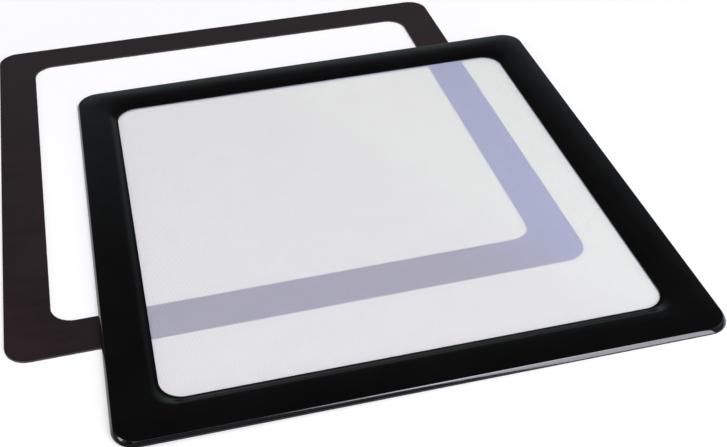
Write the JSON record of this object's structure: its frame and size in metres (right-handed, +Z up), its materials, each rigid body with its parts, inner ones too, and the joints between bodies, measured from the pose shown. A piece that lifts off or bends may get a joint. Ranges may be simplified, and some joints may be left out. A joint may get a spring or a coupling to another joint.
{
  "type": "fan dust filter",
  "caption": "Square magnetic dust filter for a cooling fan: a soft welded black border round a fine white screen, lying partly on its thin stick-on magnetic mounting frame.",
  "frame": {"origin": "centre of the bounding box, on the surface that both halves lie on", "axes": "+X to the right along the filter panel's near side, +Y away from the viewer along its left side, +Z up out of the filter's face"},
  "size_m": [0.1738, 0.1844, 0.0026],
  "materials": {
    "gloss_pvc": "glossy black soft PVC with a slightly cushioned, lightly rippled surface",
    "satin_pvc": "satin black PVC film",
    "magnet_core": "matt dark brown ferrite-filled flexible magnet",
    "white_mesh": "ultra-fine white woven filament screen, translucent",
    "magnet_sheet": "matt brown-black flexible magnet sheet",
    "adhesive_tape": "thin translucent double-sided adhesive",
    "liner_film": "smooth pale release liner"
  },
  "bodies": {
    "root": {"filter_cover": "gloss_pvc", "filter_back": "satin_pvc", "filter_magnet": "magnet_core", "filter_screen": "white_mesh", "mount_sheet": "magnet_sheet", "mount_adhesive": "adhesive_tape", "mount_liner": "liner_film"}
  },
  "joints": []
}
